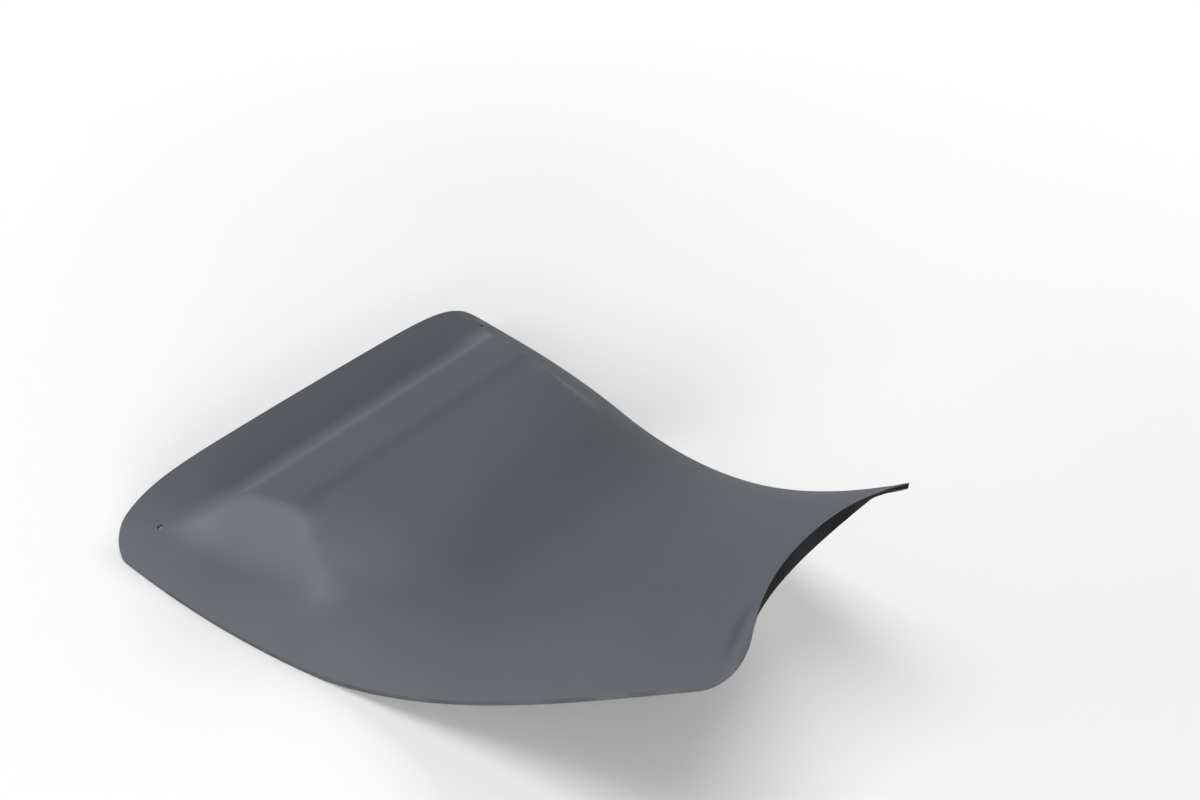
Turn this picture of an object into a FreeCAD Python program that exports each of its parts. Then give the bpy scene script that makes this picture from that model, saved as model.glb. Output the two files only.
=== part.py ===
import FreeCAD, Part
import math
import os
import Sketcher

doc = FreeCAD.newDocument("step_seat")
sheet = doc.addObject("Spreadsheet::Sheet", "sizes")

# Sizes in millimetres; stations are measured forward from the rear edge
named = {
    "shellLength": 475.8,
    "rearBow": 3.3,
    "rearCorner": 19.8,
    "rearHalf": 187.0,
    "noseHalf": 93.8,
    "sidePower": 1.31,
    "sideTuck": 1.9,
    "noseBow": 29.5,
    "noseCorner": 28.2,
    "wall": 3.0,
    "rimEdge": 3.7,
    "rimStart": 190.6,
    "rimLift": 151.0,
    "rimPower": 1.8,
    "flangeRise": 36.4,
    "floorRise": 13.2,
    "floorStart": 88.0,
    "floorReach": 80.0,
    "noseStart": 232.0,
    "noseRise": 180.8,
    "nosePower": 1.56,
    "rearRoll": 7.6,
    "noseRoll": 2.3,
    "rollFade": 182.0,
    "stepFoot": 59.5,
    "stepRidge": 92.0,
    "stepCrest": 137.0,
    "ridgeRise": 28.5,
    "crestRise": 36.0,
    "stepSlope": 0.28,
    "endHalf": 111.5,
    "endSlope": 1.7,
    "endTaper": 0.12,
    "endSteep": 1.0,
    "endPower": 6.0,
    "footBlend": 10.0,
    "ridgeBlend": 3.0,
    "crestBlend": 4.0,
    "troughBlend": 6.0,
    "endBlend": 5.0,
    "lipHalf": 64.0,
    "lipDepth": 19.3,
    "lipLap": 2.0,
    "holeRadius": 2.0,
    "holeAcross": 160.0,
    "holeAhead": 33.8,
    "reach": 260.0,
}
for row, (name, value) in enumerate(named.items(), 1):
    sheet.set("A%d" % row, name)
    sheet.set("B%d" % row, "%g" % value)
    sheet.setAlias("B%d" % row, name)
doc.recompute()


def size(name):
    return float(sheet.get(name))


length = size("shellLength")
wall = size("wall")


# Half-width of the shell at a station, widest at the rear and drawn in to the nose
def halfWidth(y):
    part = min(max(y / length, 0.0), 1.0)
    fall = 0.5 + 0.5 * math.cos(math.pi * part ** size("sidePower"))
    tuck = size("sideTuck") * math.sin(2 * math.pi * part)
    return size("noseHalf") + (size("rearHalf") - size("noseHalf")) * fall - tuck


# Share of a forward rise reached at a station
def lift(y, start, power):
    return max((y - start) / (length - start), 0.0) ** power


def rimHeight(y):
    return size("rimEdge") + size("rimLift") * lift(y, size("rimStart"), size("rimPower"))


# Middle line without the step: rear flange, sitting floor and upswept nose
def crownHeight(y):
    part = min(max((y - size("floorStart")) / size("floorReach"), 0.0), 1.0)
    floor = size("flangeRise") + size("floorRise") * part ** 2 * (3 - 2 * part)
    climb = size("noseRise") - size("flangeRise") - size("floorRise")
    return floor + climb * lift(y, size("noseStart"), size("nosePower"))


# Section across the shell: flat in the middle and rolled down to the rim
def baseHeight(x, y):
    roll = size("noseRoll") + (size("rearRoll") - size("noseRoll")) * math.exp(-y / size("rollFade"))
    crown = crownHeight(y)
    return crown - (crown - rimHeight(y)) * (abs(x) / halfWidth(y)) ** roll


# Lower or higher of two heights, rounded over within the blend
def lower(a, b, blend):
    share = min(max(0.5 + 0.5 * (b - a) / blend, 0.0), 1.0)
    return b + (a - b) * share - blend * share * (1 - share)


def higher(a, b, blend):
    return -lower(-a, -b, blend)


# Step: rear face, rising band, front slope that steepens towards the ends, and two sloped ends
def stepHeight(x, y):
    foot, ridge, crest = size("stepFoot"), size("stepRidge"), size("stepCrest")
    ridgeTop = size("flangeRise") + size("ridgeRise")
    crestTop = size("flangeRise") + size("crestRise")
    rear = size("flangeRise") + (y - foot) * size("ridgeRise") / (ridge - foot)
    band = ridgeTop + (y - ridge) * (crestTop - ridgeTop) / (crest - ridge)
    steep = 1 + size("endSteep") * (abs(x) / size("endHalf")) ** size("endPower")
    front = crestTop - (y - crest) * size("stepSlope") * steep
    end = crestTop + (size("endHalf") - size("endTaper") * (y - crest) - abs(x)) * size("endSlope")
    roof = lower(lower(rear, band, size("ridgeBlend")), front, size("crestBlend"))
    return lower(roof, end, size("endBlend"))


# Outer skin: the step stands out of the base with a wide fillet behind and a close one in front
def skinHeight(x, y):
    part = min(max((y - size("stepRidge")) / (size("stepCrest") - size("stepRidge")), 0.0), 1.0)
    blend = size("footBlend") + (size("troughBlend") - size("footBlend")) * part
    return higher(baseHeight(x, y), stepHeight(x, y), blend)


def skinPoint(x, y, depth):
    nudge = 0.5
    slopeX = (skinHeight(x + nudge, y) - skinHeight(x - nudge, y)) / (2 * nudge)
    slopeY = (skinHeight(x, y + nudge) - skinHeight(x, y - nudge)) / (2 * nudge)
    normal = FreeCAD.Vector(-slopeX, -slopeY, 1.0).normalize()
    return FreeCAD.Vector(x, y, skinHeight(x, y)) - normal * depth


def spread(first, last, count):
    return [first + (last - first) * i / count for i in range(count)]


# Control rows are close where the step turns and wide apart on the smooth seat
margin = 8.0
turn = 12.0
stations = spread(-margin, size("stepFoot") - turn, 5)
stations += spread(size("stepFoot") - turn, size("stepRidge") + turn, 12)
stations += spread(size("stepRidge") + turn, size("stepCrest") + turn, 10)
stations += spread(size("stepCrest") + turn, length + margin, 22) + [length + margin]
outward = spread(0.0, 0.5, 5) + spread(0.5, 0.82, 10) + spread(0.82, 1.1, 7) + [1.1]
across = [-u for u in reversed(outward[1:])] + outward


def clampedKnots(count):
    return list(range(count - 2)), [4] + [1] * (count - 4) + [4]


def skinFace(depth):
    poles = [[skinPoint(u * halfWidth(y), y, depth) for y in stations] for u in across]
    knotsU, multsU = clampedKnots(len(across))
    knotsV, multsV = clampedKnots(len(stations))
    surface = Part.BSplineSurface()
    surface.buildFromPolesMultsKnots(poles, multsU, multsV, knotsU, knotsV, False, False, 3, 3)
    return surface.toShape()


# Plan outline: bowed rear edge, round corners, drawn-in sides and a hollowed nose edge
def outlineFace():
    radius = size("rearCorner")
    middleY = radius
    for _ in range(8):
        middleX = halfWidth(middleY) - radius
        middleY = size("rearBow") * (middleX / size("rearHalf")) ** 2 + radius
    diagonal = radius * math.sqrt(0.5)
    tip = halfWidth(length)
    corner = size("noseCorner")
    sideEnd = length - corner
    edgeX = tip - corner
    edgeY = length - size("noseBow") * (1 - (edgeX / tip) ** 2)

    def at(x, y):
        return FreeCAD.Vector(x, y, 0)

    edges = []
    for side in (1, -1):
        rearTurn = Part.Arc(
            at(side * middleX, middleY - radius),
            at(side * (middleX + diagonal), middleY - diagonal),
            at(side * (middleX + radius), middleY),
        )
        flank = Part.BSplineCurve()
        steps = spread(middleY, sideEnd, 8) + [sideEnd]
        flank.interpolate([at(side * halfWidth(y), y) for y in steps])
        frontTurn = Part.BezierCurve()
        sideTop = at(side * halfWidth(sideEnd), sideEnd)
        frontTurn.setPoles([sideTop, at(side * tip, length), at(side * edgeX, edgeY)])
        edges += [rearTurn.toShape(), flank.toShape(), frontTurn.toShape()]
    rearEdge = Part.Arc(at(middleX, middleY - radius), at(0, 0), at(-middleX, middleY - radius))
    noseEdge = Part.Arc(at(edgeX, edgeY), at(0, length - size("noseBow")), at(-edgeX, edgeY))
    edges += [rearEdge.toShape(), noseEdge.toShape()]
    return Part.Face(Part.Wire(Part.__sortEdges__(edges)))


def shaped(name, shape):
    thing = doc.addObject("Part::Feature", name)
    thing.Shape = shape
    return thing


def raised(name, base, direction, alias):
    thing = doc.addObject("Part::Extrusion", name)
    thing.Base = base
    thing.DirMode = "Custom"
    thing.Dir = FreeCAD.Vector(0, 0, direction)
    thing.Solid = True
    thing.setExpression("LengthFwd", "sizes." + alias)
    return thing


def joined(kind, name, base, tool):
    thing = doc.addObject(kind, name)
    thing.Base = base
    thing.Tool = tool
    return thing


outline = shaped("outline", outlineFace())
outerSkin = shaped("outerSkin", skinFace(0.0))
innerSkin = shaped("innerSkin", skinFace(wall))
plan = raised("plan", outline, 1, "reach")
above = raised("above", outerSkin, 1, "reach")
below = raised("below", innerSkin, -1, "reach")
underSkin = joined("Part::Cut", "underSkin", plan, above)
shell = joined("Part::Cut", "shell", underSkin, below)

# Turned-down lip under the nose edge, deepest in the middle and run out at both ends
lipBody = doc.addObject("PartDesign::Body", "lipBody")
doc.recompute()
frontPlane = [item for item in lipBody.Origin.OriginFeatures if item.Role == "XZ_Plane"][0]
lipSketch = lipBody.newObject("Sketcher::SketchObject", "lipSketch")
lipSketch.AttachmentSupport = (frontPlane, [""])
lipSketch.MapMode = "FlatFace"
chord = size("lipHalf")
drop = size("lipDepth")
top = crownHeight(length - size("noseBow")) + size("lipLap")
radius = (chord ** 2 + drop ** 2) / (2 * drop)
centre = FreeCAD.Vector(0, top - drop + radius, 0)
startAngle = math.atan2(top - centre.y, -chord)
endAngle = math.atan2(top - centre.y, chord)
leftEnd = FreeCAD.Vector(-chord, top, 0)
rightEnd = FreeCAD.Vector(chord, top, 0)
circle = Part.Circle(centre, FreeCAD.Vector(0, 0, 1), radius)
lipSketch.addGeometry(Part.LineSegment(leftEnd, rightEnd), False)
lipSketch.addGeometry(Part.ArcOfCircle(circle, startAngle, endAngle), False)
lipSketch.addConstraint(Sketcher.Constraint("Coincident", 1, 1, 0, 1))
lipSketch.addConstraint(Sketcher.Constraint("Coincident", 1, 2, 0, 2))
lipSketch.addConstraint(Sketcher.Constraint("Symmetric", 0, 1, 0, 2, -2))
width = lipSketch.addConstraint(Sketcher.Constraint("DistanceX", 0, 1, 0, 2, 2 * chord))
level = lipSketch.addConstraint(Sketcher.Constraint("DistanceY", -1, 1, 0, 1, top))
bend = lipSketch.addConstraint(Sketcher.Constraint("Radius", 1, radius))
lipSketch.setExpression("Constraints[%d]" % width, "2 * sizes.lipHalf")
bendRule = "(sizes.lipHalf ^ 2 + sizes.lipDepth ^ 2) / (2 * sizes.lipDepth)"
lipSketch.setExpression("Constraints[%d]" % bend, bendRule)
noseShare = "(sizes.shellLength - sizes.noseBow - sizes.noseStart) / (sizes.shellLength - sizes.noseStart)"
floorRule = "sizes.flangeRise + sizes.floorRise"
noseRule = "(sizes.noseRise - (%s)) * (%s) ^ sizes.nosePower" % (floorRule, noseShare)
levelRule = "%s + %s + sizes.lipLap" % (floorRule, noseRule)
lipSketch.setExpression("Constraints[%d]" % level, levelRule)
doc.recompute()
lipPad = lipBody.newObject("PartDesign::Pad", "lipPad")
lipPad.Profile = lipSketch
lipPad.Reversed = True
lipPad.setExpression("Length", "sizes.shellLength")
lipBody.Tip = lipPad
doc.recompute()

# The lip follows the nose edge: the plan less the same plan moved back by the wall
planBack = raised("planBack", outline, 1, "reach")
planBack.setExpression("Placement.Base.y", "-sizes.wall")
edgeBand = joined("Part::Cut", "edgeBand", plan, planBack)
lipBand = joined("Part::Common", "lipBand", edgeBand, lipBody)
lip = joined("Part::Cut", "lip", lipBand, above)
lipped = joined("Part::Fuse", "lipped", shell, lip)
lipped.Refine = False


def drilled(name, base, side):
    drill = doc.addObject("Part::Cylinder", name + "Drill")
    drill.setExpression("Radius", "sizes.holeRadius")
    drill.setExpression("Height", "sizes.reach")
    drill.setExpression("Placement.Base.x", "%d * sizes.holeAcross" % side)
    drill.setExpression("Placement.Base.y", "sizes.holeAhead")
    return joined("Part::Cut", name, base, drill)


rightHole = drilled("rightHole", lipped, 1)
seat = drilled("step_seat_shell", rightHole, -1)
cutBack = "sizes.noseBow * (1 - ((sizes.noseHalf - sizes.noseCorner) / sizes.noseHalf) ^ 2)"
tipLoss = "sizes.noseCorner * (%s) / (sizes.noseCorner + %s)" % (cutBack, cutBack)
seat.setExpression("Placement.Base.y", "-(sizes.shellLength - %s) / 2" % tipLoss)
seat.Label = "step_seat_shell"
doc.recompute()

for item in doc.Objects:
    if "Invalid" in item.State or "Error" in item.State:
        raise RuntimeError("not built: " + item.Name)
    shape = getattr(item, "Shape", None)
    if shape is not None and item.TypeId != "App::Plane" and (shape.isNull() or not shape.isValid()):
        raise RuntimeError("bad shape: " + item.Name)
if len(seat.Shape.Solids) != 1:
    raise RuntimeError("the shell is not one solid")

os.makedirs("parts", exist_ok=True)
seat.Shape.exportStep("parts/%s.step" % seat.Label)
box = seat.Shape.optimalBoundingBox(False)
print("box %.1f x %.1f x %.1f mm" % (box.XLength, box.YLength, box.ZLength))
print("middle %.2f %.2f, lowest %.2f" % (box.Center.x, box.Center.y, box.ZMin))
print("volume %.1f cm3, faces %d" % (seat.Shape.Volume / 1000, len(seat.Shape.Faces)))
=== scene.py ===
import math
import bpy
import bmesh
import numpy as np
from mathutils import Matrix, Vector


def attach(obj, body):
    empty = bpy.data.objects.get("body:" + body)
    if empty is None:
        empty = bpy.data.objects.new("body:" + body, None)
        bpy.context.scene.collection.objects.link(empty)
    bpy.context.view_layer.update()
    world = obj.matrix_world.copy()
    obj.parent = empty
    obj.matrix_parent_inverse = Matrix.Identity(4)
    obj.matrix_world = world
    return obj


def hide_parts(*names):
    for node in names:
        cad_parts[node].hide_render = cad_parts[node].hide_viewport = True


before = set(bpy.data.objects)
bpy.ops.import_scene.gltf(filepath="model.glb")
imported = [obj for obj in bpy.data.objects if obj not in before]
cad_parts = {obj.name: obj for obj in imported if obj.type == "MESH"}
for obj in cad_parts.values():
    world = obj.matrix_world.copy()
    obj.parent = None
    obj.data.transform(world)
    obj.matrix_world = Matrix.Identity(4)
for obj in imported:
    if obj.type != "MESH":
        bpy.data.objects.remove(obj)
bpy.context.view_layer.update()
scene = bpy.context.scene
mm = 0.001
print("frame loaded")


# one socket of a material, with sums written as plain expressions
class Sock:
    def __init__(self, paint, socket):
        self.paint = paint
        self.socket = socket

    def maths(self, operation, a, b):
        return self.paint.node("ShaderNodeMath", {"operation": operation}, {0: a, 1: b})

    def __add__(self, other):
        return self.maths("ADD", self, other)

    def __radd__(self, other):
        return self.maths("ADD", other, self)

    def __mul__(self, other):
        return self.maths("MULTIPLY", self, other)

    def __rmul__(self, other):
        return self.maths("MULTIPLY", other, self)


class Paint:
    def __init__(self, tree):
        self.tree = tree
        self.tree.nodes.clear()

    # settings go in first, then the values or links of the sockets
    def node(self, kind, settings=None, sockets=None, out=0):
        made = self.tree.nodes.new(kind)
        for name, value in (settings or {}).items():
            setattr(made, name, value)
        for name, value in (sockets or {}).items():
            if isinstance(value, Sock):
                self.tree.links.new(value.socket, made.inputs[name])
            else:
                made.inputs[name].default_value = value
        return Sock(self, made.outputs[out]) if len(made.outputs) else made

    def mixColour(self, factor, a, b):
        settings = {"data_type": "RGBA"}
        return self.node("ShaderNodeMix", settings, {0: factor, 6: a, 7: b}, out=2)

    def ramp(self, value, low, high):
        settings = {"clamp": True, "interpolation_type": "SMOOTHSTEP"}
        return self.node("ShaderNodeMapRange", settings, {"Value": value, "From Min": low, "From Max": high})

    # a grain is its scale and its detail, with its roughness where that isn't one half
    def noise(self, place, grain):
        scale, detail, rough = (*grain, 0.5)[:3]
        sockets = {"Vector": place, "Scale": scale, "Detail": detail, "Roughness": rough}
        return self.node("ShaderNodeTexNoise", {}, sockets)

    # 1 for rays from the camera, also by way of a reflection or a clear piece
    def seen(self):
        camera = self.node("ShaderNodeLightPath", out="Is Camera Ray")
        glossy = self.node("ShaderNodeLightPath", out="Is Glossy Ray")
        return camera + glossy + self.node("ShaderNodeLightPath", out="Is Transmission Ray")

    def stretched(self, place, scale):
        return self.node("ShaderNodeVectorMath", {"operation": "MULTIPLY"}, {0: place, 1: scale})

    # bump from a height in metres
    def bump(self, height):
        return self.node("ShaderNodeBump", {}, {"Strength": 1.0, "Distance": 1.0, "Height": height})


def newPaint(name):
    material = bpy.data.materials.new(name)
    material.use_nodes = True
    return material, Paint(material.node_tree)


# shell sizes in millimetres, stations measured forward from the rear edge
shell = {
    "length": 475.8, "rearBow": 3.3, "rearCorner": 19.8, "rearHalf": 187.0, "noseHalf": 93.8,
    "sidePower": 1.31, "sideTuck": 1.9, "noseBow": 29.5, "noseCorner": 28.2,
    "wall": 3.0, "rimEdge": 3.7, "rimStart": 190.6, "rimLift": 151.0, "rimPower": 1.8,
    "flangeRise": 36.4, "floorRise": 13.2, "floorStart": 88.0, "floorReach": 80.0,
    "noseStart": 232.0, "noseRise": 180.8, "nosePower": 1.56,
    "rearRoll": 7.6, "noseRoll": 2.3, "rollFade": 182.0,
    "stepFoot": 59.5, "stepRidge": 92.0, "stepCrest": 137.0, "ridgeRise": 28.5, "crestRise": 36.0,
    "stepSlope": 0.28, "endHalf": 111.5, "endSlope": 1.7, "endTaper": 0.12, "endSteep": 1.0, "endPower": 6.0,
    "footBlend": 10.0, "ridgeBlend": 3.0, "crestBlend": 4.0, "troughBlend": 6.0, "endBlend": 5.0,
    "endFoot": 16.0, "endFootLead": 5.0, "endFootReach": 20.0,
    "lipHalf": 64.0, "lipDepth": 19.3, "lipLap": 2.0, "lipThick": 3.0, "lipTurn": 0.5,
    "holeRadius": 2.0, "holeAcross": 160.0, "holeAhead": 33.8, "holeSides": 32,
    "drillMiddle": 20.0, "drillLength": 60.0,
    "edgeRound": 0.6, "edgeLine": 1.0, "edgeAngle": 40.0, "weld": 0.001,
    "columns": 141, "columnEase": 0.25, "sideRows": 190, "cornerRows": 14,
    "drawStart": 250.0, "drawBack": 22.0,
}


def halfWidth(y):
    part = np.clip(y / shell["length"], 0, 1)
    fall = 0.5 + 0.5 * np.cos(np.pi * part ** shell["sidePower"])
    tuck = shell["sideTuck"] * np.sin(2 * np.pi * part)
    return shell["noseHalf"] + (shell["rearHalf"] - shell["noseHalf"]) * fall - tuck


def lift(y, start, power):
    return np.maximum((y - start) / (shell["length"] - start), 0) ** power


# middle line without the step: flange, sitting floor and upswept nose
def crownHeight(y):
    part = np.clip((y - shell["floorStart"]) / shell["floorReach"], 0, 1)
    floor = shell["flangeRise"] + shell["floorRise"] * part ** 2 * (3 - 2 * part)
    climb = shell["noseRise"] - shell["flangeRise"] - shell["floorRise"]
    return floor + climb * lift(y, shell["noseStart"], shell["nosePower"])


def baseHeight(x, y):
    roll = shell["noseRoll"] + (shell["rearRoll"] - shell["noseRoll"]) * np.exp(-y / shell["rollFade"])
    crown = crownHeight(y)
    rim = shell["rimEdge"] + shell["rimLift"] * lift(y, shell["rimStart"], shell["rimPower"])
    return crown - (crown - rim) * (np.abs(x) / halfWidth(y)) ** roll


def lower(a, b, blend):
    share = np.clip(0.5 + 0.5 * (b - a) / blend, 0, 1)
    return b + (a - b) * share - blend * share * (1 - share)


def higher(a, b, blend):
    return -lower(-a, -b, blend)


# faces of the step: rear face, rising band, front slope that steepens to the ends, and a sloped end
def stepFaces(x, y):
    foot, ridge, crest = shell["stepFoot"], shell["stepRidge"], shell["stepCrest"]
    ridgeTop = shell["flangeRise"] + shell["ridgeRise"]
    crestTop = shell["flangeRise"] + shell["crestRise"]
    rear = shell["flangeRise"] + (y - foot) * shell["ridgeRise"] / (ridge - foot)
    band = ridgeTop + (y - ridge) * (crestTop - ridgeTop) / (crest - ridge)
    steep = 1 + shell["endSteep"] * (np.abs(x) / shell["endHalf"]) ** shell["endPower"]
    front = crestTop - (y - crest) * shell["stepSlope"] * steep
    end = crestTop + (shell["endHalf"] - shell["endTaper"] * (y - crest) - np.abs(x)) * shell["endSlope"]
    return rear, band, front, end


def stepHeight(x, y):
    rear, band, front, end = stepFaces(x, y)
    roof = lower(lower(rear, band, shell["ridgeBlend"]), front, shell["crestBlend"])
    return lower(roof, end, shell["endBlend"])


def skinHeight(x, y):
    part = np.clip((y - shell["stepRidge"]) / (shell["stepCrest"] - shell["stepRidge"]), 0, 1)
    blend = shell["footBlend"] + (shell["troughBlend"] - shell["footBlend"]) * part
    past = np.clip((np.abs(x) - shell["endHalf"] + shell["endFootLead"]) / shell["endFootReach"], 0, 1)
    blend = blend + (shell["endFoot"] - blend) * past ** 2 * (3 - 2 * past)
    return higher(baseHeight(x, y), stepHeight(x, y), blend)


# skin height less the wall, measured straight down
def innerHeight(x, y):
    nudge = 0.5
    slopeX = (skinHeight(x + nudge, y) - skinHeight(x - nudge, y)) / (2 * nudge)
    slopeY = (skinHeight(x, y + nudge) - skinHeight(x, y - nudge)) / (2 * nudge)
    drop = shell["wall"] * np.sqrt(1 + slopeX ** 2 + slopeY ** 2)
    return np.maximum(skinHeight(x, y) - drop, 0)


# right-hand edge of the plan from rear to nose, with the station of the same row at the middle
def planEdge():
    radius, corner, length = shell["rearCorner"], shell["noseCorner"], shell["length"]
    midY = radius
    for _ in range(8):  # the rear corner's middle settles on the bowed edge
        midX = float(halfWidth(midY)) - radius
        midY = shell["rearBow"] * (midX / shell["rearHalf"]) ** 2 + radius
    turn = np.linspace(-math.pi / 2, 0, shell["cornerRows"], endpoint=False)
    rearX, rearY = midX + radius * np.cos(turn), midY + radius * np.sin(turn)
    rearMid = (rearY - rearY[0]) * midY / (midY - rearY[0])

    sideEnd = length - corner
    sideY = np.linspace(midY, sideEnd, shell["sideRows"])
    sideX = halfWidth(sideY)
    # rows start to follow the hollow nose edge
    start = shell["drawStart"]
    sideMid = sideY - shell["drawBack"] * np.maximum((sideY - start) / (sideEnd - start), 0) ** 2

    tip = float(halfWidth(length))
    edgeX = tip - corner
    edgeY = length - shell["noseBow"] * (1 - (edgeX / tip) ** 2)
    t = np.linspace(0, 1, shell["cornerRows"])[1:]
    tipX = (1 - t) ** 2 * sideX[-1] + 2 * t * (1 - t) * tip + t ** 2 * edgeX
    tipY = (1 - t) ** 2 * sideEnd + 2 * t * (1 - t) * length + t ** 2 * edgeY
    noseMid = length - shell["noseBow"]
    tipMid = sideMid[-1] + (noseMid - sideMid[-1]) * t
    tipMid[-2] = noseMid - shell["lipThick"]  # last row but one is the back of the lip
    edges = (rearX, sideX, tipX), (rearY, sideY, tipY), (rearMid, sideMid, tipMid)
    return (np.concatenate(rows) for rows in edges)


# lower edge of the lip: an arc, deepest in the middle
def lipBottom(x):
    half, depth = shell["lipHalf"], shell["lipDepth"]
    bend = (half ** 2 + depth ** 2) / (2 * depth)
    top = float(crownHeight(np.array(shell["length"] - shell["noseBow"]))) + shell["lipLap"]
    inside = np.minimum(np.abs(x), bend)
    return top - depth + bend - np.sqrt(bend ** 2 - inside ** 2)


# soft crease just inside each nose corner, darkened with painted shade, with a strip of painted highlight
# ahead of it
noseFold = {
    "start": (50.0, 449.0), "end": (83.0, 456.0), "wide": 2.4, "deep": 0.8,
    "fade": 0.35, "stop": 1.1, "stripAhead": 6.0, "stripWide": 3.5,
}


# strength of the crease and of the strip at each point
def foldMarks(x, y):
    (startX, startY), (endX, endY) = noseFold["start"], noseFold["end"]
    runX, runY = endX - startX, endY - startY
    long = math.hypot(runX, runY)
    along = ((np.abs(x) - startX) * runX + (y - startY) * runY) / long ** 2
    ahead = ((y - startY) * runX - (np.abs(x) - startX) * runY) / long
    begun = np.clip(along / noseFold["fade"], 0, 1)
    ending = np.clip((noseFold["stop"] - along) / noseFold["fade"], 0, 1)
    crease = begun * ending * np.exp(-(ahead / noseFold["wide"]) ** 2)
    strip = begun * np.exp(-((ahead - noseFold["stripAhead"]) / noseFold["stripWide"]) ** 2)
    return crease, strip


def buildShell():
    edgeX, edgeY, midY = planEdge()
    across = np.linspace(-1, 1, shell["columns"])
    ease = shell["columnEase"]
    across = (1 - ease) * across + ease * np.sin(across * math.pi / 2)  # closer columns towards the sides
    x = edgeX[:, None] * across[None]
    y = midY[:, None] + (edgeY - midY)[:, None] * across[None] ** 2
    crease = foldMarks(x, y)[0]
    outer = np.stack([x, y, skinHeight(x, y) - noseFold["deep"] * crease], -1)
    inner = np.stack([x, y, innerHeight(x, y)], -1)
    lipBack, lipFront = inner[-2].copy(), inner[-1].copy()
    lipFront[:, 2] = np.minimum(lipFront[:, 2], lipBottom(lipFront[:, 0]))
    lipBack[:, 2] = np.minimum(lipBack[:, 2], lipBottom(lipBack[:, 0]))
    inside = np.concatenate([inner[:-1], lipBack[None], lipFront[None]])
    # a line just under the skin edge, below which the cut wall may take the lip's painted shade
    noseLine = outer[-1] - np.array([0, 0, shell["edgeLine"]])
    sideLine = outer[:, (0, -1)] - np.array([0, 0, shell["edgeLine"]])
    rows, columns = x.shape
    points = np.concatenate([outer.reshape(-1, 3), inside.reshape(-1, 3), noseLine, sideLine.reshape(-1, 3)])
    points[:, 1] -= edgeY.max() / 2
    under = rows * columns
    line = under + (rows + 1) * columns
    flank = line + columns
    faces, look = [], []
    gel, raw, shadedLip, trim = range(4)  # order of the shell's materials

    def add(corners, slot):
        faces.append(corners)
        look.append(slot)

    for r in range(rows - 1):
        for c in range(columns - 1):
            a = r * columns + c
            add((a, a + 1, a + columns + 1, a + columns), gel)
    for r in range(rows):
        for c in range(columns - 1):
            a = under + r * columns + c
            add((a, a + columns, a + columns + 1, a + 1), raw)
    for c in range(columns - 1):
        add((c + 1, c, under + c, under + c + 1), trim)
        front, low = (rows - 1) * columns + c, under + rows * columns + c
        add((front, front + 1, line + c + 1, line + c), gel)
        # below the line the front wall across the middle and the far side takes the lip's painted shade
        add((line + c, line + c + 1, low + 1, low), shadedLip if x[-1, c] < shell["lipHalf"] else trim)
    for side, column in ((0, 0), (1, columns - 1)):
        for r in range(rows - 1):
            top, nextTop = r * columns + column, (r + 1) * columns + column
            mid, nextMid = flank + 2 * r + side, flank + 2 * (r + 1) + side
            skip = 1 if r == rows - 2 else 0
            low = under + (r + skip) * columns + column
            nextLow = low + columns
            stepX, stepY = edgeX[r + 1] - edgeX[r], edgeY[r + 1] - edgeY[r]
            forward = -stepX / math.hypot(stepX, stepY)
            # the forward-facing wall of the far tip takes the lip's painted shade
            lowSlot = shadedLip if side == 0 and forward > shell["lipTurn"] else trim
            strips = ((top, nextTop, nextMid, mid), trim), ((mid, nextMid, nextLow, low), lowSlot)
            for quad, slot in strips:
                add(quad if side == 0 else quad[::-1], slot)

    mesh = bpy.data.meshes.new("stepShell")
    mesh.from_pydata([tuple(p * mm) for p in points], [], faces)
    mesh.polygons.foreach_set("material_index", look)
    body = bmesh.new()
    body.from_mesh(mesh)
    bmesh.ops.remove_doubles(body, verts=body.verts, dist=shell["weld"] * mm)
    bmesh.ops.dissolve_degenerate(body, edges=body.edges, dist=shell["weld"] * mm)
    bmesh.ops.recalc_face_normals(body, faces=body.faces)
    for face in body.faces:
        face.smooth = True
    body.to_mesh(mesh)
    body.free()
    piece = bpy.data.objects.new("stepShell", mesh)
    scene.collection.objects.link(piece)
    return piece, edgeY.max() / 2


# two screw holes cut straight through the flange
def drillHoles(piece, halfLength):
    radius = shell["holeRadius"] * mm
    for side in (1, -1):
        cutter = bmesh.new()
        middle = side * shell["holeAcross"], shell["holeAhead"] - halfLength, shell["drillMiddle"]
        place = Matrix.Translation(Vector(middle) * mm)
        bmesh.ops.create_cone(
            cutter, cap_ends=True, segments=shell["holeSides"], radius1=radius, radius2=radius,
            depth=shell["drillLength"] * mm, matrix=place,
        )
        mesh = bpy.data.meshes.new("drill")
        cutter.to_mesh(mesh)
        cutter.free()
        drill = bpy.data.objects.new("drill", mesh)
        scene.collection.objects.link(drill)
        cut = piece.modifiers.new("hole", "BOOLEAN")
        cut.object, cut.operation, cut.solver = drill, "DIFFERENCE", "EXACT"
        graph = bpy.context.evaluated_depsgraph_get()
        drilled = bpy.data.meshes.new_from_object(piece.evaluated_get(graph))
        piece.modifiers.clear()
        piece.data = drilled
        bpy.data.objects.remove(drill)


# grey gel coat of the outer skin, with painted highlights and painted shade laid over it
gelCoat = {
    "colour": (0.088, 0.094, 0.104), "worn": (0.094, 0.100, 0.110),
    # the next two colours are a painted highlight and a painted shade
    "sandingAndHighlight": (0.126, 0.134, 0.148), "paintedShade": (0.070, 0.075, 0.084),
    "mottle": (11.0, 3.0, 0.55), "speck": (900.0, 1.0),
    "haze": (38.0, 4.0, 0.6), "hazeStretch": (1.0, 0.35, 1.0),
    "mottleShare": 0.6, "hazeShare": 0.25, "speckShare": 0.15, "wornFrom": 0.36, "wornTo": 0.66,
    "highlightLeast": 0.8, "highlightHaze": 0.4, "roughness": 0.55, "roughHaze": 0.1, "shine": 0.03,
    "peel": (520.0, 2.0), "peelHigh": 0.00002, "wave": (17.0, 1.0), "waveHigh": 0.00003,
}


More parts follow.
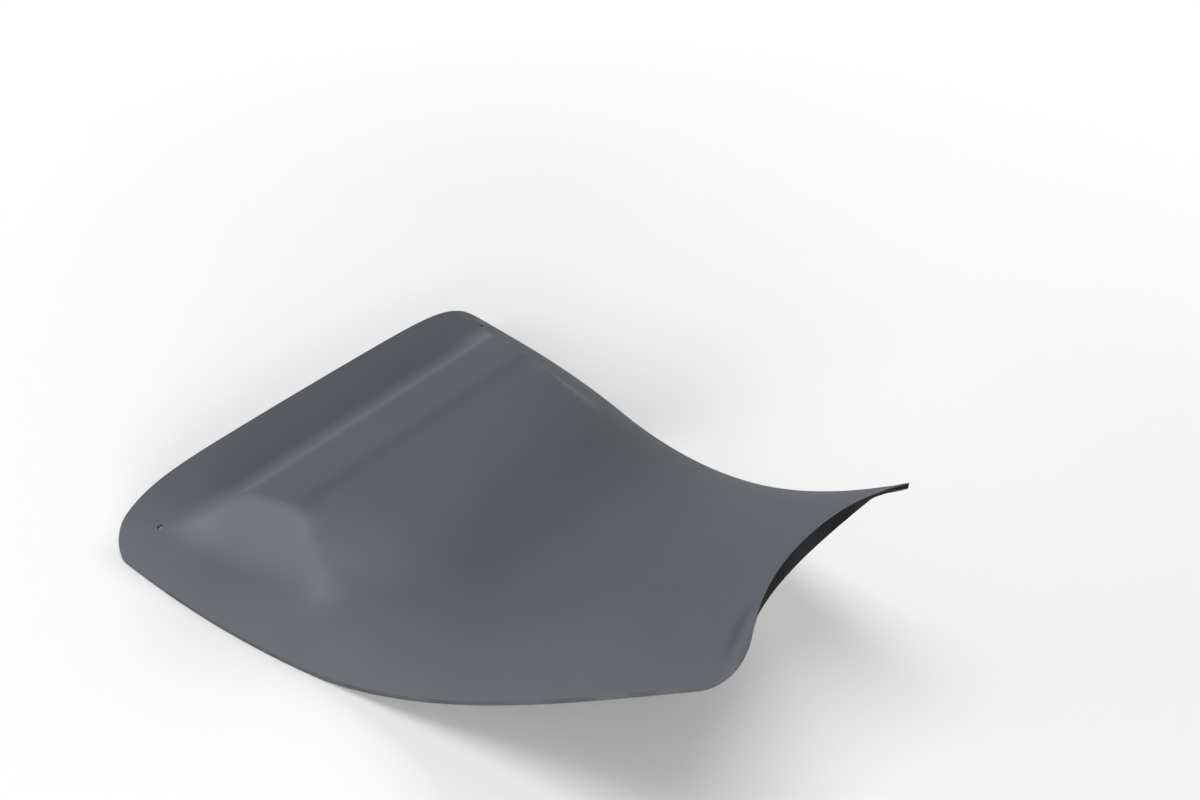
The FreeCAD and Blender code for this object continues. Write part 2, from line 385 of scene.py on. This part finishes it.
def gelCoatMaterial():
    material, paint = newPaint("gelCoat")
    place = paint.node("ShaderNodeTexCoord", out="Object")
    mottle = paint.noise(place, gelCoat["mottle"])
    speck = paint.noise(place, gelCoat["speck"])
    haze = paint.noise(paint.stretched(place, gelCoat["hazeStretch"]), gelCoat["haze"])
    mixed = mottle * gelCoat["mottleShare"] + haze * gelCoat["hazeShare"] + speck * gelCoat["speckShare"]
    share = paint.ramp(mixed, gelCoat["wornFrom"], gelCoat["wornTo"])
    colour = paint.mixColour(share, (*gelCoat["colour"], 1), (*gelCoat["worn"], 1))
    # painted highlight from a mesh attribute, broken up by the haze
    paintedLight = paint.node("ShaderNodeAttribute", {"attribute_name": "paintedLight"}, out="Fac")
    patchy = gelCoat["highlightLeast"] + gelCoat["highlightHaze"] * haze
    colour = paint.mixColour(paintedLight * patchy, colour, (*gelCoat["sandingAndHighlight"], 1))
    # painted shade from a mesh attribute
    paintedShade = paint.node("ShaderNodeAttribute", {"attribute_name": "paintedShade"}, out="Fac")
    colour = paint.mixColour(paintedShade, colour, (*gelCoat["paintedShade"], 1))
    peel = paint.noise(place, gelCoat["peel"])
    wave = paint.noise(place, gelCoat["wave"])
    shader = paint.node("ShaderNodeBsdfPrincipled", {}, {
        "Base Color": colour, "Roughness": gelCoat["roughness"] + gelCoat["roughHaze"] * haze,
        "Normal": paint.bump(peel * gelCoat["peelHigh"] + wave * gelCoat["waveHigh"]),
        "Specular IOR Level": gelCoat["shine"],
    })
    paint.node("ShaderNodeOutputMaterial", {}, {"Surface": shader})
    return material


# dark raw laminate of the underside, with chopped strands showing through the resin
laminate = {
    "resin": (0.016, 0.016, 0.017), "strand": (0.036, 0.036, 0.037), "roughness": 0.62, "strandRough": 0.15,
    "turns": (0.3, 1.4, 2.5), "strandThin": (1.0, 0.07, 1.0), "strandGrain": (570.0, 1.0),
    "strandFrom": 0.66, "strandTo": 0.74, "strandHigh": 0.00015,
    "bend": (60.0, 2.0), "bendShare": 0.12, "bendHigh": 0.0003,
}


def laminateMaterial():
    material, paint = newPaint("rawLaminate")
    place = paint.node("ShaderNodeTexCoord", out="Object")
    bend = paint.noise(place, laminate["bend"])
    strands = 0.0
    for turn in laminate["turns"]:
        sockets = {"Vector": place, "Angle": turn}
        spun = paint.node("ShaderNodeVectorRotate", {"rotation_type": "Z_AXIS"}, sockets)
        thin = paint.noise(paint.stretched(spun, laminate["strandThin"]), laminate["strandGrain"])
        line = paint.ramp(thin + laminate["bendShare"] * bend, laminate["strandFrom"], laminate["strandTo"])
        strands = paint.node("ShaderNodeMath", {"operation": "MAXIMUM"}, {0: strands, 1: line})
    colour = paint.mixColour(strands, (*laminate["resin"], 1), (*laminate["strand"], 1))
    shader = paint.node("ShaderNodeBsdfPrincipled", {}, {
        "Base Color": colour, "Roughness": laminate["roughness"] + laminate["strandRough"] * strands,
        "Normal": paint.bump(strands * laminate["strandHigh"] + bend * laminate["bendHigh"]),
    })
    paint.node("ShaderNodeOutputMaterial", {}, {"Surface": shader})
    return material


# turned-down lip under the nose edge, painted near-black as shade
lipShade = {
    "name": "noseLipPaintedShade", "colour": (0.010, 0.010, 0.010), "sandingAndHighlight": (0.018, 0.018, 0.019),
    "roughness": 0.7, "shine": 0.01,
}
# trimmed edge of the wall
cutFinish = {
    "name": "cutEdge", "colour": (0.055, 0.058, 0.064), "sandingAndHighlight": (0.075, 0.079, 0.086),
    "roughness": 0.7, "shine": 0.1,
}
# sanding marks that both of them have
sanding = {
    "grain": (420.0, 3.0), "grainShare": 0.3, "grainRough": 0.1, "grainHigh": 0.00006,
    "cloud": (40.0, 2.0), "cloudShare": 0.7, "rubFrom": 0.4, "rubTo": 0.65,
}


def edgeMaterial(look):
    material, paint = newPaint(look["name"])
    place = paint.node("ShaderNodeTexCoord", out="Object")
    grain = paint.noise(place, sanding["grain"])
    cloud = paint.noise(place, sanding["cloud"])
    mixed = cloud * sanding["cloudShare"] + grain * sanding["grainShare"]
    share = paint.ramp(mixed, sanding["rubFrom"], sanding["rubTo"])
    colour = paint.mixColour(share, (*look["colour"], 1), (*look["sandingAndHighlight"], 1))
    shader = paint.node("ShaderNodeBsdfPrincipled", {}, {
        "Base Color": colour, "Roughness": look["roughness"] + sanding["grainRough"] * grain,
        "Normal": paint.bump(grain * sanding["grainHigh"]), "Specular IOR Level": look["shine"],
    })
    paint.node("ShaderNodeOutputMaterial", {}, {"Surface": shader})
    return material


# painted highlights on the top and ends of the step and at its corners, and painted shade along its crest
# each corner is across, ahead, width and strength
lightAndShade = {
    "top": 0.2, "crest": 0.28, "crestWide": 6.5, "face": 0.29, "spread": 30.0, "reach": 32.0,
    "borderFade": 8.0, "ridgeFade": 6.0,
    "rearCorner": (141.0, 63.0, 19.0, 0.6), "crestCorner": (112.0, 147.0, 7.0, 0.45),
    "footCorner": (131.0, 179.0, 11.0, 0.5), "strip": 0.35,
}


def paintLightAndShade(piece, halfLength):
    points = np.empty(len(piece.data.vertices) * 3)
    piece.data.vertices.foreach_get("co", points)
    x, y = np.abs(points[0::3] / mm), points[1::3] / mm + halfLength
    rear, band, front, end = stepFaces(x, y)
    roof = np.minimum(np.minimum(rear, band), front)
    base, fade = baseHeight(x, y), lightAndShade["borderFade"]
    proud = np.clip((np.minimum(roof, end) - base + lightAndShade["spread"]) / lightAndShade["reach"], 0, 1)
    face = proud * np.clip((roof - end) / fade + 0.5, 0, 1)
    top = np.clip((roof - base) / fade, 0, 1) * np.clip((end - roof) / fade + 0.5, 0, 1)
    top = top * np.clip((y - shell["stepRidge"]) / lightAndShade["ridgeFade"] + 0.5, 0, 1)
    corners = 0
    for name in ("rearCorner", "crestCorner", "footCorner"):
        atX, atY, wide, amount = lightAndShade[name]
        corners = corners + amount * np.exp(-((x - atX) ** 2 + (y - atY) ** 2) / wide ** 2)
    crease, strip = foldMarks(x, y)
    # painted shade: the dark of the nose crease and a line along the step's crest
    paintedShade = crease + lightAndShade["crest"] * top * np.exp(-((y - shell["stepCrest"]) / lightAndShade["crestWide"]) ** 2)
    # painted highlights on the step's top, its end faces and corners, and on the strip ahead of each crease
    light = lightAndShade["top"] * top + lightAndShade["face"] * face
    light = light + corners + lightAndShade["strip"] * strip
    for name, amount in (("paintedLight", light), ("paintedShade", paintedShade)):
        layer = piece.data.attributes.new(name, "FLOAT", "POINT")
        layer.data.foreach_set("value", np.clip(amount, 0, 1).astype(np.float32))


piece, halfLength = buildShell()
for material in (gelCoatMaterial(), laminateMaterial(), edgeMaterial(lipShade), edgeMaterial(cutFinish)):
    piece.data.materials.append(material)
edgeAngle = math.radians(shell["edgeAngle"])
rounding = piece.modifiers.new("edges", "BEVEL")
rounding.width, rounding.segments = shell["edgeRound"] * mm, 2
rounding.limit_method, rounding.angle_limit = "ANGLE", edgeAngle
rounding.use_clamp_overlap = True
# the holes are cut after the edges are rounded, so their own edges stay crisp
drillHoles(piece, halfLength)
piece.data.set_sharp_from_angle(angle=edgeAngle)
# mesh attributes that carry the painted highlights and painted shade
paintLightAndShade(piece, halfLength)
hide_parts("step_seat_shell")
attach(piece, "root")
print("shell built:", len(piece.data.polygons), "faces")

# pale floor that the shell lies on, fading to the white backdrop
floorLook = {"half": 6.0, "colour": (0.9, 0.9, 0.9), "fadeStart": 0.45, "fadeEnd": 1.0}


def buildFloor():
    half = floorLook["half"]
    corners = [(-half, -half, 0), (half, -half, 0), (half, half, 0), (-half, half, 0)]
    mesh = bpy.data.meshes.new("floor")
    mesh.from_pydata(corners, [], [(0, 1, 2, 3)])
    floor = bpy.data.objects.new("floor", mesh)
    scene.collection.objects.link(floor)
    material, paint = newPaint("paleFloor")
    place = paint.node("ShaderNodeTexCoord", out="Object")
    away = paint.node("ShaderNodeVectorMath", {"operation": "LENGTH"}, {0: place}, out="Value")
    far = paint.ramp(away, floorLook["fadeStart"], floorLook["fadeEnd"])
    plain = paint.node("ShaderNodeBsdfDiffuse", {}, {"Color": (*floorLook["colour"], 1)})
    white = paint.node("ShaderNodeEmission", {}, {"Color": (1, 1, 1, 1), "Strength": 1.0})
    shader = paint.node("ShaderNodeMixShader", {}, {0: paint.seen() * far, 1: plain, 2: white})
    paint.node("ShaderNodeOutputMaterial", {}, {"Surface": shader})
    mesh.materials.append(material)


# soft studio: pale glow along the horizon, a large lamp at the right front and weaker ones round the rest
# each lamp is its place in metres and its power
studio = {
    "horizon": 1.28, "glowTop": 0.5, "lampWide": 1.2, "lampTall": 0.7, "lampAim": (0.0, 0.0, 0.05),
    "frontLamp": ((1.17, 1.17, 0.41), 29.5), "sideLamp": ((1.17, -1.17, 0.41), 12.5),
    "rearLamp": ((0.0, -1.65, 0.41), 9.0), "leftLamp": ((-1.3, 0.0, 1.09), 10.8),
    "topLamp": ((0.06, 0.0, 1.7), 12.5),
}


def buildWorld():
    world = bpy.data.worlds.new("studio")
    scene.world = world
    world.use_nodes = True
    paint = Paint(world.node_tree)
    ray = paint.node("ShaderNodeTexCoord", out="Generated")
    up = paint.node("ShaderNodeSeparateXYZ", {}, {"Vector": ray}, out="Z")
    high = paint.ramp(up, 0.0, studio["glowTop"])
    glow, dark, white = (
        paint.node("ShaderNodeBackground", {}, {"Color": (1, 1, 1, 1), "Strength": strength})
        for strength in (studio["horizon"], 0.0, 1.0)
    )
    sky = paint.node("ShaderNodeMixShader", {}, {0: high, 1: glow, 2: dark})
    mixed = paint.node("ShaderNodeMixShader", {}, {0: paint.seen(), 1: sky, 2: white})
    paint.node("ShaderNodeOutputWorld", {}, {"Surface": mixed})


def softLamp(name):
    place, power = studio[name]
    lamp = bpy.data.lights.new(name, "AREA")
    lamp.shape, lamp.size, lamp.size_y = "RECTANGLE", studio["lampWide"], studio["lampTall"]
    lamp.energy = power
    holder = bpy.data.objects.new(name, lamp)
    holder.location = place
    holder.rotation_mode = "QUATERNION"
    holder.rotation_quaternion = (Vector(studio["lampAim"]) - Vector(place)).to_track_quat("-Z", "Y")
    scene.collection.objects.link(holder)


buildFloor()
buildWorld()
for name in ("frontLamp", "sideLamp", "rearLamp", "leftLamp", "topLamp"):
    softLamp(name)
print("floor and light set")

# camera solved from the photograph's outline: aim in metres, angles in degrees
view = {
    "aim": (-0.10408, 0.21609, 0.07134), "turn": 40.31, "tilt": 38.82, "distance": 0.87018,
    "focalPixels": 1185.8, "imageWidth": 1200, "sensorWidth": 36.0,
}


def buildCamera():
    turn, tilt = math.radians(view["turn"]), math.radians(view["tilt"])
    level = math.cos(tilt)
    ahead = Vector((-math.cos(turn) * level, -math.sin(turn) * level, -math.sin(tilt)))
    right = Vector((-math.sin(turn), math.cos(turn), 0))
    above = right.cross(ahead)
    aim = Vector(view["aim"]) - Vector((0, halfLength * mm, 0))
    data = bpy.data.cameras.new("camera")
    data.sensor_fit, data.sensor_width = "HORIZONTAL", view["sensorWidth"]
    data.lens = view["focalPixels"] / view["imageWidth"] * data.sensor_width
    camera = bpy.data.objects.new("camera", data)
    scene.collection.objects.link(camera)
    place = aim - ahead * view["distance"]
    camera.matrix_world = Matrix.Translation(place) @ Matrix((right, above, -ahead)).transposed().to_4x4()
    scene.camera = camera


buildCamera()
scene.view_settings.view_transform = "Standard"
